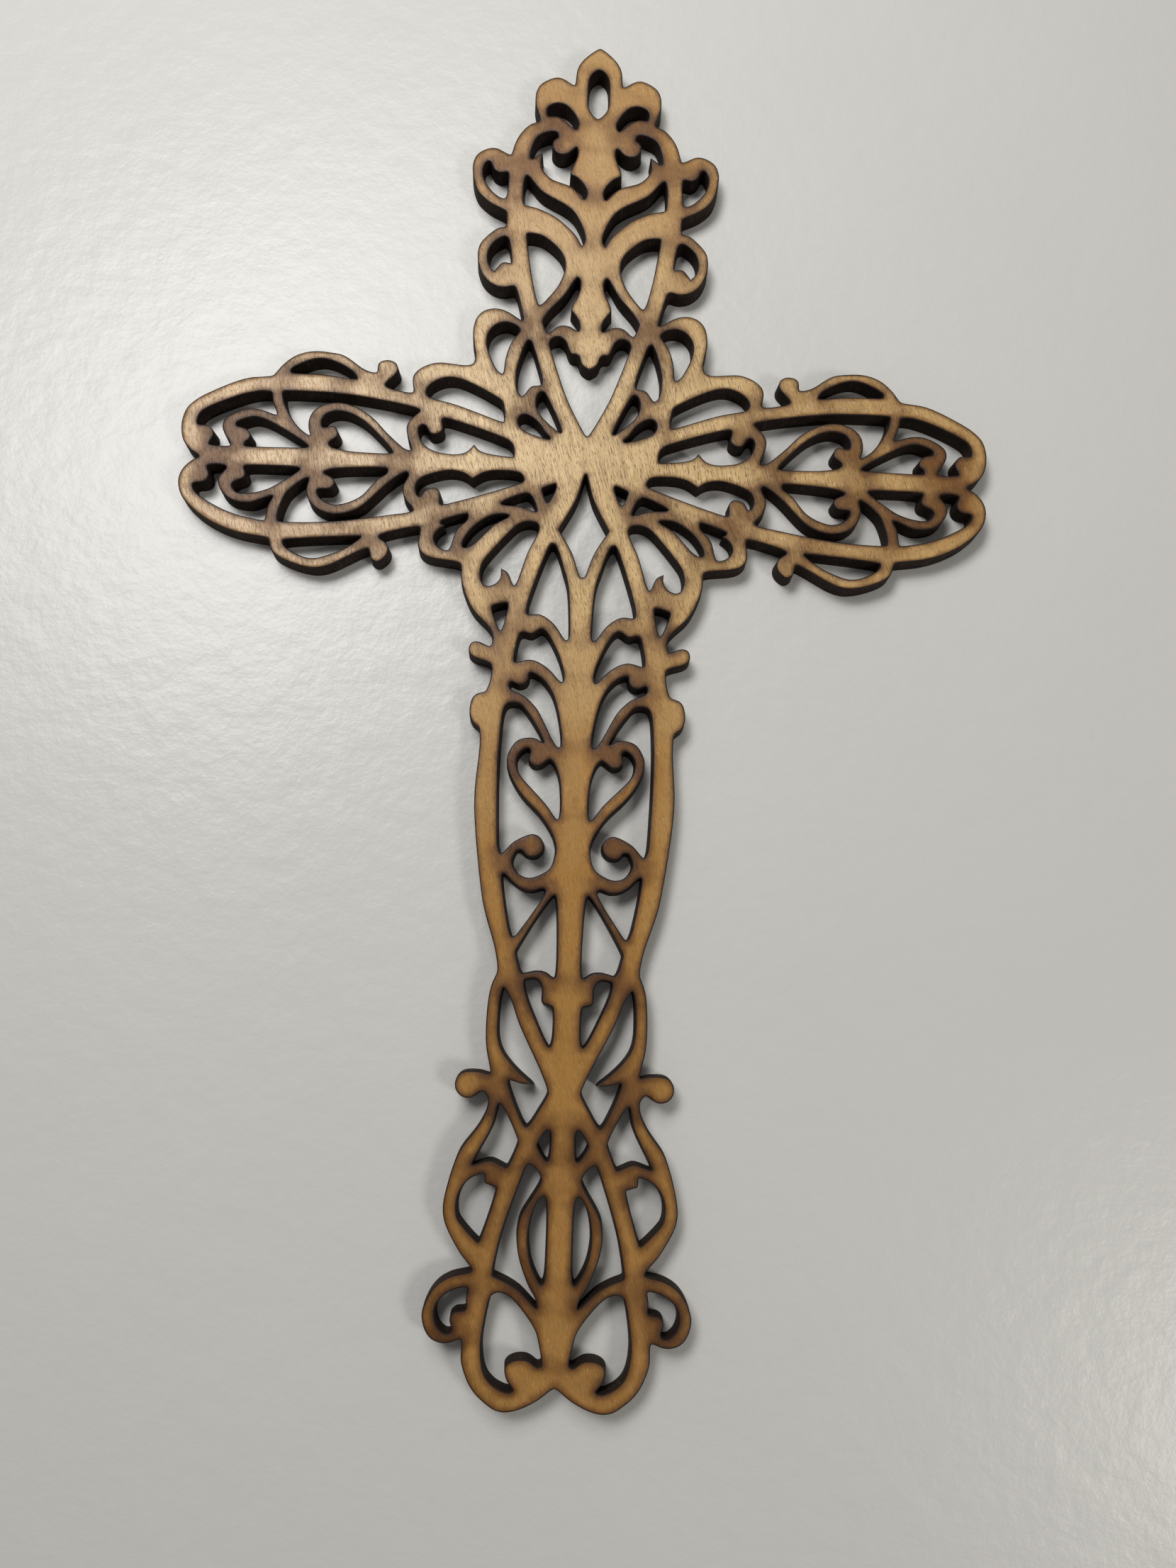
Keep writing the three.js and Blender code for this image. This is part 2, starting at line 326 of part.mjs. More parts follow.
const SHAFT_WINDOWS = {
  pointedArch: [
    [4.15, -14.3, 0.2], [4.85, -14.3, 0.15], [5.4, -16.2], [6.3, -18.7], [7.2, -21.3],
    [7.75, -23.2], [7.95, -24.9], [7.85, -25.3, 0.2], [7, -25.2], [6, -25.22], [4.9, -25.75],
    [3.7, -26.8], [2.8, -28.05], [2.3, -28.8], [1.95, -29.1, 0.2], [1.65, -28.3],
    [1.65, -26.8], [1.85, -23.8], [2.05, -20.8], [2.6, -18.7], [3.4, -16.4],
  ],
  outerTriangle: [
    [10.75, -23.55, 0.2], [11.6, -23.85], [13.15, -24.25, 0.2], [12.8, -25.25],
    [12.2, -26.5], [11.65, -28.05, 0.2], [11.3, -27.05], [10.9, -25.3],
  ],
  arrowhead: [
    [5.6, -27.42], [6.2, -27.62], [6.8, -28.12], [7.4, -28.25], [8.2, -28],
    [8.8, -28.15, 0.2], [9, -29.2], [9.3, -30.9], [9.48, -32.1], [9.4, -32.55, 0.25],
    [8.6, -32.5], [7.6, -32.15], [6.6, -32.18], [5.3, -32.78], [4.1, -33.65],
    [3.1, -34.75], [2.4, -35.4, 0.2], [2.2, -34.6], [2.5, -32.9], [3.3, -30.8],
    [4.2, -29], [5, -27.8],
  ],
  hook: [
    [2.5, -45.1, 0.2], [2.2, -44.4], [2.5, -42], [2.85, -39.6], [3.4, -37.8],
    [4.3, -36.05], [5.4, -34.8], [6.5, -34.15], [7.2, -34.05, 0.15], [7.32, -35],
    [7.7, -35.62], [8.5, -35.9], [9.2, -35.72], [9.75, -35.52], [10.02, -35.95],
    [9.8, -36.6], [9, -37.02], [8, -37.42], [6.9, -38.3], [5.8, -39.5], [4.9, -41.1],
    [4, -42.9], [3, -44.6],
  ],
  longField: [
    [9, -38.6], [9.9, -38.7], [10.45, -39.2], [10.8, -40.8], [11, -44], [11.08, -48],
    [11, -52.5], [10.8, -56.2], [10.55, -59.6], [10.1, -60.65, 0.3], [9.4, -59.85],
    [8.4, -58.8], ...arc(5.78, -59.22, 1.63, 40, 335), [7.8, -59.95], [8.3, -60.65],
    [8.52, -61.55], [8.2, -62.5], [7.3, -63.45], [6, -63.8], [4.5, -63.35], [3.2, -62.4],
    [2.6, -60.9], [2.45, -59.4], [2.9, -57.8], [4, -55.92], [5.4, -54.2], [7, -52.67],
    [8.2, -51.2], [9.1, -49.7], [9.75, -48], [9.85, -46.6], [9.4, -45.35], [8.6, -44.25],
    [7.6, -43.78], [6.3, -43.68], [5.5, -43.92], [4.65, -44.35, 0.1], [5.3, -42.9],
    [6.5, -41], [7.6, -39.45], [8.3, -38.78],
  ],
  heart: [
    [3.7, -46.75], [4.2, -46.95], [4.7, -47.5], [5.5, -47.77], [6.3, -47.55],
    [6.7, -46.95], [6.65, -46.1], [6.55, -45.7], [6.75, -45.25], [7.2, -45.22],
    [8, -45.8], [8.5, -46.8], [8.45, -47.9], [7.9, -49.15], [6.6, -50.6], [5, -52.25],
    [3.6, -53.8], [2.6, -55.15], [2.28, -55.5, 0.15], [2, -54.5], [2.05, -52],
    [2.15, -50.2], [2.5, -48.7], [3.1, -47.3],
  ],
  belowScroll: [
    [9.75, -63.2, 0.2], [9.85, -63.8], [9.5, -65.8], [9, -69], [8.4, -71.4],
    [7.95, -72.2, 0.2], [7.4, -71.65], [5.3, -68.4], [4, -66.35], [3.55, -65.6, 0.2],
    [3.95, -65.2], [4.7, -65.48], [5.9, -65.62], [7, -65.36], [8.2, -64.6], [9.2, -63.6],
  ],
  chevron: [
    [2.3, -65.9, 0.2], [3, -67], [4.6, -69.55], [6.2, -71.95], [7.2, -73.55],
    [7.5, -74.3, 0.3], [7.1, -75.5], [6.75, -76.7], [6.35, -77.15, 0.25], [5.4, -76.83],
    [4.3, -76.67], [3.3, -76.83], [2, -77.65, 0.15], [1.75, -77], [1.78, -75],
    [1.92, -71], [1.98, -67.5],
  ],
  besideCollar: [
    [4.8, -77.67], [5.6, -77.78], [6.1, -77.95, 0.25], [6.1, -78.8], [5.6, -80.3],
    [4.8, -82.3], [3.8, -84.3], [2.8, -86.1], [2.3, -87.1, 0.2], [1.95, -86],
    [1.92, -83.9], [1.98, -82], [2.1, -81.45, 0.15], [2.9, -81.3], [3.5, -81, 0.2],
    [3.62, -80.1], [3.52, -79.2], [3.8, -78.35], [4.3, -77.8],
  ],
  longSpur: [
    [8.95, -79, 0.25], [9.25, -80], [9.42, -82.3], [9.45, -84], [9.3, -86], [8.8, -87.4],
    [7.9, -88.7], [6.7, -89.95], [5.5, -91], [4.33, -91.93, 0], [5.3, -92],
    [6.2, -91.87], [7.1, -91.62], [7.8, -91.5, 0.15], [7.2, -93.3], [6.4, -95.2], [5.6, -96.9],
    [5, -97.65, 0.2], [4.1, -96.3], [3, -94.6], [2.2, -93.05, 0.1], [2.9, -91.2],
    [4.1, -88.8], [5.5, -86], [6.7, -83.6], [7.6, -81.2], [8.4, -79.65],
  ],
  skirtWing: [
    [8.9, -94.5, 0.2], [9.1, -95.5], [9.4, -97], [10.3, -99.1], [11.3, -101],
    [12.25, -102.75, 0.25], [11.4, -102.6], [10.4, -102.2], [9.4, -102.1], [8.4, -102.5],
    [7.4, -103, 0.25], [6.9, -101.8], [6, -99.65, 0.15], [6.7, -98.2], [7.4, -96.8],
    [8.2, -95.2],
  ],
  kite: [
    [1.7, -98.05, 0.15], [2.2, -97.85, 0.15], [2.8, -98.65], [3.5, -99.95, 0.15],
    [2.8, -101], [2, -102.2, 0.2], [1.72, -100.9], [1.7, -99],
  ],
  skirtBow: [
    [4.55, -102.35, 0.25], [4.9, -102.9], [5.4, -104.3], [6.2, -106.5], [7.2, -109.5],
    [7.95, -112.1], [8.45, -114.6], [8.68, -116], [8.75, -116.75, 0.3], [7.6, -117.15],
    [6.3, -117.8], [5, -118.6], [3.9, -119.65], [2.65, -120.75, 0.15], [3, -119.4],
    [3.7, -118.35], [4.4, -116.9], [5.1, -115.15], [5.6, -113.2], [5.73, -111.4],
    [5.4, -109.4], [4.5, -107.5], [3.4, -105.8], [2.65, -104.5, 0.2], [3.2, -103.4],
    [4, -102.6],
  ],
  lens: [
    [2.1, -106.6, 0.3], [2.6, -106.6], [3.3, -107.6], [3.9, -109.3], [4.22, -111.4],
    [4.1, -113.4], [3.6, -115.4], [2.8, -117], [2.1, -117.9, 0.2], [1.8, -116.5],
    [1.8, -112], [1.83, -108],
  ],
  skirtEar: [
    [10.4, -103.75, 0.15], [11.3, -103.98], [12.4, -104.6], [13.3, -105.6],
    [13.85, -106.9], [13.97, -108.2], [13.7, -109.6], [12.8, -110.65], [11.6, -111.85],
    [10.8, -112.65, 0.25], [10.3, -111.3], [9.6, -108.6], [9, -106.5], [8.7, -105.55, 0.1],
    [9.3, -105.3], [10.25, -105.1, 0.25], [10.4, -104.4],
  ],
};

const FOOT_WINDOWS = {
  ear: [
    [11.85, -118.3, 0.15], [12.6, -118.3], [13.8, -118.65], [15.1, -119.4],
    [15.9, -120.4], [16.2, -121.6], [15.9, -122.9], [15.1, -123.85], [14.3, -124.08],
    [13.75, -123.8, 0.2], [13.85, -123.1], [14.12, -122.5], [13.95, -121.75],
    [13.4, -121.32], [12.7, -121.25], [12.1, -121.1, 0.2], [11.97, -120.6],
    [12.1, -119.9], [12, -119.1],
  ],
  loop: [
    [7.5, -118.85], [8.3, -118.92], [8.85, -119.4], [9.1, -120.6], [9.6, -123],
    [9.85, -125.2], [9.7, -127.2], [9.2, -129], [8.2, -130.15], [7, -130.85],
    [5.9, -131.07], [5.3, -130.8, 0.25], [6, -130.1], [6.5, -129.1], [6.6, -128.1],
    [6.1, -127.45], [5.1, -127.07], [3.9, -127.07], [3.05, -127.45], [2.3, -127.93],
    [1.75, -127.7, 0.25], [1.95, -126.6], [2.3, -124.9], [2.8, -123.45], [3.8, -122],
    [5, -120.55], [6.1, -119.5], [6.8, -119.05],
  ],
};

const SIDE_WINDOWS = [
  HEAD_WINDOWS, HUB_WINDOWS, ARM_WINDOWS, SHAFT_WINDOWS, FOOT_WINDOWS,
].flatMap(Object.values);

// From drawn points to flat outlines

const toVector = ([x, y]) => new THREE.Vector3(x * SCALE, y * SCALE, 0);

// The stretches between one corner and the next, each with the corners at its two ends.
function stretches(outline) {
  const first = outline.findIndex((point) => point.length === 3);
  const turned = [...outline.slice(first), ...outline.slice(0, first + 1)];
  const corners = turned.flatMap((point, index) => (point.length === 3 ? [index] : []));
  return corners.slice(1).map((end, index) => turned.slice(corners[index], end + 1));
}

// Close samples of the smooth curve through a stretch, without what its rounded ends take.
function sampled(stretch) {
  const start = stretch[0];
  const end = stretch[stretch.length - 1];
  const curve = new THREE.CatmullRomCurve3(stretch.map(toVector), false, 'centripetal');
  const samples = curve.getPoints((stretch.length - 1) * SAMPLES_PER_SPAN);
  return samples.filter(
    (point) => point.distanceTo(toVector(start)) >= start[2] * SCALE
      && point.distanceTo(toVector(end)) >= end[2] * SCALE,
  );
}

// Keeps only the samples that a polyline needs to stay within the tolerance of all of them.
function thinned(samples) {
  const end = samples.length - 1;
  const chord = new THREE.Line3(samples[0], samples[end]);
  const strays = samples.map((point) =>
    chord.closestPointToPoint(point, true, new THREE.Vector3()).distanceTo(point));
  const furthest = strays.indexOf(Math.max(...strays));
  if (strays[furthest] <= CURVE_TOLERANCE) return [samples[0], samples[end]];
  return [
    ...thinned(samples.slice(0, furthest + 1)),
    ...thinned(samples.slice(furthest)).slice(1),
  ];
}

// The closed polygon of an outline: its thinned stretches, joined by its rounded corners.
function polygon(outline) {
  const runs = stretches(outline);
  const edges = runs.map((run) => thinned(sampled(run)));
  return edges.flatMap((edge, index) => {
    const corner = runs[index][runs[index].length - 1];
    if (corner[2] === 0) return edge.slice(0, -1);
    const next = edges[(index + 1) % edges.length][0];
    const bend = new THREE.QuadraticBezierCurve3(edge[edge.length - 1], toVector(corner), next);
    const steps = Math.ceil(corner[2] / ROUNDING_PER_STEP);
    return [...edge, ...bend.getPoints(steps).slice(1, -1)];
  });
}

// The sheet: one shape with all its windows, cut straight through

function crossPanel() {
  // The edge has to run anticlockwise, and the windows may then run either way.
  const shape = new THREE.Shape(polygon(symmetric(EDGE)).reverse());
  const centre = Object.values(CENTRE_WINDOWS).map(symmetric);
  const sides = SIDE_WINDOWS.flatMap((outline) => [outline, mirrored(outline)]);
  shape.holes = [...centre, ...sides].map((outline) => new THREE.Path(polygon(outline)));
  const geometry = new THREE.ExtrudeGeometry(shape, { depth: THICKNESS, bevelEnabled: false });
  const mesh = new THREE.Mesh(geometry, new THREE.MeshStandardMaterial(WOOD));
  mesh.name = 'cross_panel';
  return mesh;
}

const cross = new THREE.Group();
cross.add(crossPanel());

export default cross;
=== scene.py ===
"""A filigree cross cut from thin plywood, scorched beside its cuts, lying on a pale floor."""

import math

import bpy
import numpy as np
from bpy.props import FloatProperty, FloatVectorProperty, PointerProperty
from mathutils import Euler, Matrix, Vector
from mathutils.geometry import delaunay_2d_cdt


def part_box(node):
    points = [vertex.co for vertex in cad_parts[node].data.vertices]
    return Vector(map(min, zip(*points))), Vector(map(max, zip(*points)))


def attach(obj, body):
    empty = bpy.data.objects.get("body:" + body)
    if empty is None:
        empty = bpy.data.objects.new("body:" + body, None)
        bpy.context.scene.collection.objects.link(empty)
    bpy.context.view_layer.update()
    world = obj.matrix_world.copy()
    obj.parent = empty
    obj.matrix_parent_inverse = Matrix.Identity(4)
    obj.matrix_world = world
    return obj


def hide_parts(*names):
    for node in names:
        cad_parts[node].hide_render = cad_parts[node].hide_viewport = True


bl_info = {
    "name": "Filigree plywood cross",
    "version": (1, 0, 0),
    "blender": (4, 5, 0),
    "location": "View3D > Sidebar > Cross",
    "description": "Builds a laser-cut filigree cross with scorched edges and its stage",
    "category": "Add Mesh",
}

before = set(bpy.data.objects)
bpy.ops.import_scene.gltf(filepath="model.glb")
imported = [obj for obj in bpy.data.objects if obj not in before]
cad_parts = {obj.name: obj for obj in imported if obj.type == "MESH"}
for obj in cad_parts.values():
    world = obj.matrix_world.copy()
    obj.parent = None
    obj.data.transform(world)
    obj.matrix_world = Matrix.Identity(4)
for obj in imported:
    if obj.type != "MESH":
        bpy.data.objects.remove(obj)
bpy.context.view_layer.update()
NODE = "cross_panel"
BODY = "root"
MM = 0.001

CORNER_BOW = 0.16 * MM  # a turn that bows out more than this between its neighbours is a corner
CREASE = math.radians(38)  # edges of the panel that turn more than this stay sharp
GRAIN_TILT = math.radians(15)  # the grain leans this far from upright, to the left at the top
PALE_REACH = (46 * MM, 30 * MM)  # half width and half height of the paler wood round the hub
TURN_LENGTH = 1.2 * MM  # a turn of one radian heats the wood like this much more cut
LARGEST_TURN = 1.6  # radians, past which a turn heats the wood no more
WALL_DEPTHS = (0.35, 0.7, 1)  # rows of a wall, as shares of the way from the face to the back
PLY = 1 * MM  # from one glue line of a wall to the next
BATCH = 800  # places tested together, so that the arrays stay small
FLOOR_HALF = 1.5  # half the width of the square floor
FLOOR_DROP = 0.05 * MM  # how far the floor lies below the back of the cross
CAMERA_PLACE = (-1.7 * MM, -79.5 * MM, 168.2 * MM)
CAMERA_TURN = (10.04, -1.55, 1.83)  # degrees about X, Y and Z, from straight down


class PanelSizes(bpy.types.PropertyGroup):
    """Sizes of the panel's edges and mesh, and the reach of the heat of its cuts."""

    rim: FloatProperty(
        name="Charred rim",
        description="Width of the burnt bevel along every cut, on the face",
        default=0.1 * MM,
        unit="LENGTH",
    )
    rim_drop: FloatProperty(
        name="Rim drop",
        description="How far the burnt bevel falls below the face",
        default=0.05 * MM,
        unit="LENGTH",
    )
    slope: FloatProperty(
        name="Wall slope",
        description="How much further out a cut wall stands at the back than at the face",
        default=0.13 * MM,
        unit="LENGTH",
    )
    edge_step: FloatProperty(
        name="Edge step",
        description="Longest piece of a refined outline",
        default=0.62 * MM,
        unit="LENGTH",
    )
    turn_step: FloatProperty(
        name="Turn step",
        description="Largest turn between two pieces of a refined outline",
        default=math.radians(13),
        subtype="ANGLE",
    )
    face_step: FloatProperty(
        name="Face step",
        description="Spacing of the points inside the face",
        default=0.54 * MM,
        unit="LENGTH",
    )
    soot_reach: FloatProperty(
        name="Soot reach",
        description="How far the heat of a cut darkens the face",
        default=1.15 * MM,
        unit="LENGTH",
    )
    tip_reach: FloatProperty(
        name="Tip reach",
        description="How far the smoke spreads round the tip of a window, where the beam turns",
        default=1.6 * MM,
        unit="LENGTH",
    )
    browning_reach: FloatProperty(
        name="Browning reach",
        description="How far the heat of a cut tans the wood",
        default=2.6 * MM,
        unit="LENGTH",
    )


class PanelColours(bpy.types.PropertyGroup):
    """Colours of the wood, its scorching and its charred walls."""

    pale: FloatVectorProperty(
        name="Pale wood",
        description="Sanded wood far from any cut",
        default=(0.71, 0.5, 0.23),
        subtype="COLOR",
    )
    amber: FloatVectorProperty(
        name="Tanned wood",
        description="Wood warmed to amber between cuts",
        default=(0.405, 0.208, 0.053),
        subtype="COLOR",
    )
    fibre: FloatVectorProperty(
        name="Fibre",
        description="Brown fibres and pores",
        default=(0.2, 0.093, 0.024),
        subtype="COLOR",
    )
    # Painted highlight: colour of the short glints of sheen that are painted into the wood's colour
    painted_glint: FloatVectorProperty(
        name="Glint",
        description="Bright torn fibres",
        default=(0.86, 0.7, 0.45),
        subtype="COLOR",
    )
    soot: FloatVectorProperty(
        name="Soot",
        description="Share of the wood's colour that is left under the darkest amber smoke",
        default=(0.28, 0.175, 0.03),
        subtype="COLOR",
    )
    char: FloatVectorProperty(
        name="Char",
        description="Burnt wall of a cut",
        default=(0.017, 0.0098, 0.0068),
        subtype="COLOR",
    )
    ash: FloatVectorProperty(
        name="Ash",
        description="Greyer streaks of a burnt wall",
        default=(0.074, 0.053, 0.041),
        subtype="COLOR",
    )


class StageSettings(bpy.types.PropertyGroup):
    """The floor, the lights and the camera."""

    floor: FloatVectorProperty(
        name="Floor",
        description="Colour of the floor",
        default=(0.665, 0.66, 0.635),
        subtype="COLOR",
    )
    window_power: FloatProperty(
        name="Window light",
        description="Power of the light at the upper left, whose sheen lies on the left arm",
        default=1.5,
        unit="POWER",
    )
    top_power: FloatProperty(
        name="Top light",
        description="Power of the low light above the head",
        default=0.36,
        unit="POWER",
    )
    side_power: FloatProperty(
        name="Side light",
        description="Power of the light from the lower right",
        default=0.62,
        unit="POWER",
    )
    room_strength: FloatProperty(
        name="Room light",
        description="Strength of the even light from all round",
        default=0.17,
    )
    lens: FloatProperty(
        name="Lens",
        description="Focal length for a frame 36 mm high",
        default=27.03,
        unit="CAMERA",
    )


# Outlines of the panel


def panel_triangles():
    """Vertices of the CAD node, merged where they coincide, and its triangles."""
    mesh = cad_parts[NODE].data
    mesh.calc_loop_triangles()
    places = np.empty(len(mesh.vertices) * 3)
    mesh.vertices.foreach_get("co", places)
    corners = np.empty(len(mesh.loop_triangles) * 3, int)
    mesh.loop_triangles.foreach_get("vertices", corners)
    places = places.reshape(-1, 3)
    microns = np.round(places / (0.001 * MM)).astype(int)
    _, first, same = np.unique(microns, axis=0, return_index=True, return_inverse=True)
    return places[first], same.ravel()[corners].reshape(-1, 3)


def in_loop_order(start, end):
    """Order of directed edges along their closed loops, and the loop that each belongs to.

    Each edge points to the next one. Pointers that double their reach every round find the
    lowest edge of each loop, and then every edge's number of steps to it.
    """
    count = len(start)
    edge_from = np.empty(max(start.max(), end.max()) + 1, int)
    edge_from[start] = np.arange(count)
    following = edge_from[end]
    rounds = range(math.ceil(math.log2(count)) + 1)
    leader, jump = np.arange(count), following.copy()
    for _ in rounds:
        leader = np.minimum(leader, leader[jump])
        jump = jump[jump]
    leads = leader == np.arange(count)
    steps = np.where(leads, 0, 1)
    jump = np.where(leads, np.arange(count), following)
    for _ in rounds:
        steps = steps + steps[jump]
        jump = jump[jump]
    order = np.lexsort((-np.where(leads, count, steps), leader))
    return order, leader[order]


def neighbours(loop):
    """Index of the point before and after each, round the loops of a list in loop order."""
    count = len(loop)
    starts = np.flatnonzero(np.r_[True, loop[1:] != loop[:-1]])
    ends = np.r_[starts[1:], count] - 1
    before, after = np.arange(count) - 1, np.arange(count) + 1
    before[starts], after[ends] = ends, starts
    return before, after


def face_outline():
    """Points of the face's outlines in loop order, with the wood on the left, and their loops."""
    places, triangles = panel_triangles()
    top = places[:, 2].max()
    on_face = triangles[(places[triangles, 2] > top - 0.01 * MM).all(1)]
    edges = on_face[:, [0, 1, 1, 2, 2, 0]].reshape(-1, 2)
    key = edges[:, 0] * len(places) + edges[:, 1]
    reverse = edges[:, 1] * len(places) + edges[:, 0]
    rim = edges[~np.isin(key, reverse)]
    order, loop = in_loop_order(rim[:, 0], rim[:, 1])
    return places[rim[order, 0], :2], loop


def unit(vectors):
    """Vectors of length one along the given ones."""
    return vectors / np.maximum(np.linalg.norm(vectors, axis=-1, keepdims=True), 1e-12)


def turn_between(one, two):
    """Angle from one list of plane directions to another, positive where it turns left."""
    cross = one[:, 0] * two[:, 1] - one[:, 1] * two[:, 0]
    return np.arctan2(cross, (one * two).sum(1))


def refined_outline(points, loop, sizes):
    """Smooth outlines through the CAD outline's points, in loop order, and their loops.

    Each stretch between two points is a cubic whose slopes are those of a centripetal
    Catmull-Rom curve. At a corner the two sides take their own chord as slope instead. A
    corner is where the turn's bow, half the shorter side times the tangent of a quarter of
    the turn, is larger than a smooth curve's would be.
    """
    before, after = neighbours(loop)
    ahead = points[after] - points
    length = np.linalg.norm(ahead, axis=1)
    gap = np.sqrt(length)[:, None]
    back, gap_back = ahead[before], gap[before]
    turn = np.abs(turn_between(back, ahead))
    bow = np.minimum(length, length[before]) / 2 * np.tan(turn / 4)
    corner = bow > CORNER_BOW
    velocity = back / gap_back - (back + ahead) / (gap_back + gap) + ahead / gap
    leaving = np.where(corner[:, None], ahead, velocity * gap)
    arriving = np.where(corner[after, None], ahead, velocity[after] * gap)
    smooth_turn = np.where(corner, 0, turn)
    bend = (smooth_turn + smooth_turn[after]) / 2
    pieces = np.ceil(np.maximum(length / sizes.edge_step, bend / sizes.turn_step))
    pieces = np.maximum(pieces, 1).astype(int)
    stretch = np.repeat(np.arange(len(points)), pieces)
    offset = np.arange(pieces.sum()) - np.repeat(np.cumsum(pieces) - pieces, pieces)
    u = (offset / pieces[stretch])[:, None]
    refined = (
        (2 * u**3 - 3 * u**2 + 1) * points[stretch]
        + (u**3 - 2 * u**2 + u) * leaving[stretch]
        + (3 * u**2 - 2 * u**3) * points[after[stretch]]
        + (u**3 - u**2) * arriving[stretch]
    )
    return refined, loop[stretch]


def outward(outline, loop):
    """Directions out of the wood at an outline's points: the sum of both sides' normals over
    one plus their cosine, so that a moved outline keeps its distance at a corner."""
    before, after = neighbours(loop)
    ahead = unit(outline[after] - outline)
    back = ahead[before]
    normals = np.stack([ahead[:, 1] + back[:, 1], -ahead[:, 0] - back[:, 0]], 1)
    cosine = np.clip((ahead * back).sum(1), -0.3, 1)
    return normals / (1 + cosine)[:, None]


def within(places, outline, loop):
    """Whether each place lies in the wood: an odd number of outline pieces cross the level
    line to its right. Places are taken in batches from bottom to top."""
    _, after = neighbours(loop)
    low, high = outline, outline[after]
    rise = np.where(high[:, 1] == low[:, 1], 1, high[:, 1] - low[:, 1])
    lean = (high[:, 0] - low[:, 0]) / rise
    found = np.empty(len(places), bool)
    order = np.argsort(places[:, 1], kind="stable")
    for batch in np.array_split(order, max(len(places) // BATCH, 1)):
        x, y = places[batch, :1], places[batch, 1:]
        reached = np.maximum(low[:, 1], high[:, 1]) > y.min()
        reached &= np.minimum(low[:, 1], high[:, 1]) <= y.max()
        start, end = low[reached], high[reached]
        spans = (start[:, 1] > y) != (end[:, 1] > y)
        crosses = spans & (x < start[:, 0] + (y - start[:, 1]) * lean[reached])
        found[batch] = crosses.sum(1) % 2 == 1
    return found


def grid_within(outline, loop, step):
    """A triangular grid of points over the wood."""
    low, high = outline.min(0), outline.max(0)
    rows = np.arange(low[1], high[1], step * math.sqrt(3) / 2)
    columns = np.arange(low[0] - step, high[0], step)
    shift = np.where(np.arange(len(rows)) % 2, step / 2, 0)
    x, y = np.meshgrid(columns, rows)
    grid = np.stack([(x + shift[:, None]).ravel(), y.ravel()], 1)
    return grid[within(grid, outline, loop)]


# Heat of the cuts


def cut_heat(places, outline, loop, sizes):
    """Distance from each place to the nearest cut, and three heats of all the cuts there.

    The first two, soot and browning, are the sum over the outline's pieces of a bell curve of
    their distance times their length, and more where the cut turns. Beside a long straight cut
    they are one. The third, at the tips, counts only the turns that have the wood round their
    outside, as shares of a half turn. Places are taken tile by tile, with the pieces near the
    tile.
    """
    before, after = neighbours(loop)
    ahead = outline[after] - outline
    length = np.linalg.norm(ahead, axis=1)
    turn = turn_between(ahead[before], ahead)
    line = (length + length[before]) / 2 + TURN_LENGTH * np.minimum(np.abs(turn), LARGEST_TURN)
    tip = np.maximum(-turn, 0) / math.pi
    reaches = (sizes.soot_reach, sizes.browning_reach, sizes.tip_reach)
    weights = [line / (reach * math.sqrt(2 * math.pi)) for reach in reaches[:2]] + [tip]
    inverse = 1 / (ahead**2).sum(1)
    distance = np.empty(len(places))
    heats = np.empty((len(weights), len(places)))
    margin = 3 * sizes.browning_reach
    _, tile = np.unique(np.floor(places / margin), axis=0, return_inverse=True)
    tile = tile.ravel()
    for number in range(tile.max() + 1):
        here = np.flatnonzero(tile == number)
        low, high = places[here].min(0) - margin, places[here].max(0) + margin
        near = ((outline > low) & (outline < high)).all(1)
        some = places[here, None, :] - outline[near]
        along = np.clip((some * ahead[near]).sum(2) * inverse[near], 0, 1)
        square = ((some - along[..., None] * ahead[near]) ** 2).sum(2)
        distance[here] = np.sqrt(square.min(1))
        for heat, weight, reach in zip(heats, weights, reaches):
            heat[here] = np.exp(-square / (2 * reach**2)) @ weight[near]
    return distance, heats


def above_usual(heat, face_heat):
    """How far a heat lies above the face's middle one: one is the face's hottest twentieth."""
    usual, hot = np.quantile(face_heat, (0.5, 0.95))
    return (heat - usual) / (hot - usual)


# The panel


def triangulated(outline, loop, inner):
    """Anticlockwise triangles that join the outlines and the inner points over the wood.

    A triangle that has all its corners on outlines is kept only where its middle lies in the
    wood.
    """
    _, after = neighbours(loop)
    flat = np.vstack([outline, inner])
    edges = np.stack([np.arange(len(outline)), after], 1)
    points = [Vector(place) for place in (flat / MM).tolist()]
    made = delaunay_2d_cdt(points, edges.tolist(), [], 0, 1e-7)
    if len(made[0]) != len(flat):
        raise RuntimeError("outlines of the panel cross each other")
    triangles = np.array(made[2])
    on_rim = (triangles < len(outline)).all(1)
    middles = flat[triangles[on_rim]].mean(1)
    keep = np.ones(len(triangles), bool)
    keep[on_rim] = within(middles, outline, loop)
    triangles = triangles[keep]
    a, b, c = flat[triangles].transpose(1, 0, 2)
    area = np.cross(b - a, c - a)
    triangles[area < 0] = triangles[area < 0][:, ::-1]
    return triangles


def wall_levels(outline, loop, heat, top, bottom, sizes):
    """Rows of places round every outline, from the rim's inner edge on the face to the back.

    Each row is the outline moved along its outward direction and set at a height. The burnt
    bevel widens with the heat, from three quarters of its usual width to a third more than it.
    """
    out = outward(outline, loop)
    rim = sizes.rim * (0.75 + 0.3 * np.clip(heat, 0, 2))[:, None]
    profile = [(-rim, 0), (0, sizes.rim_drop)]
    profile += [(sizes.slope * depth, (top - bottom) * depth) for depth in WALL_DEPTHS]
    return [
        np.column_stack([outline + out * away, np.full(len(outline), top - drop)])
        for away, drop in profile
    ]


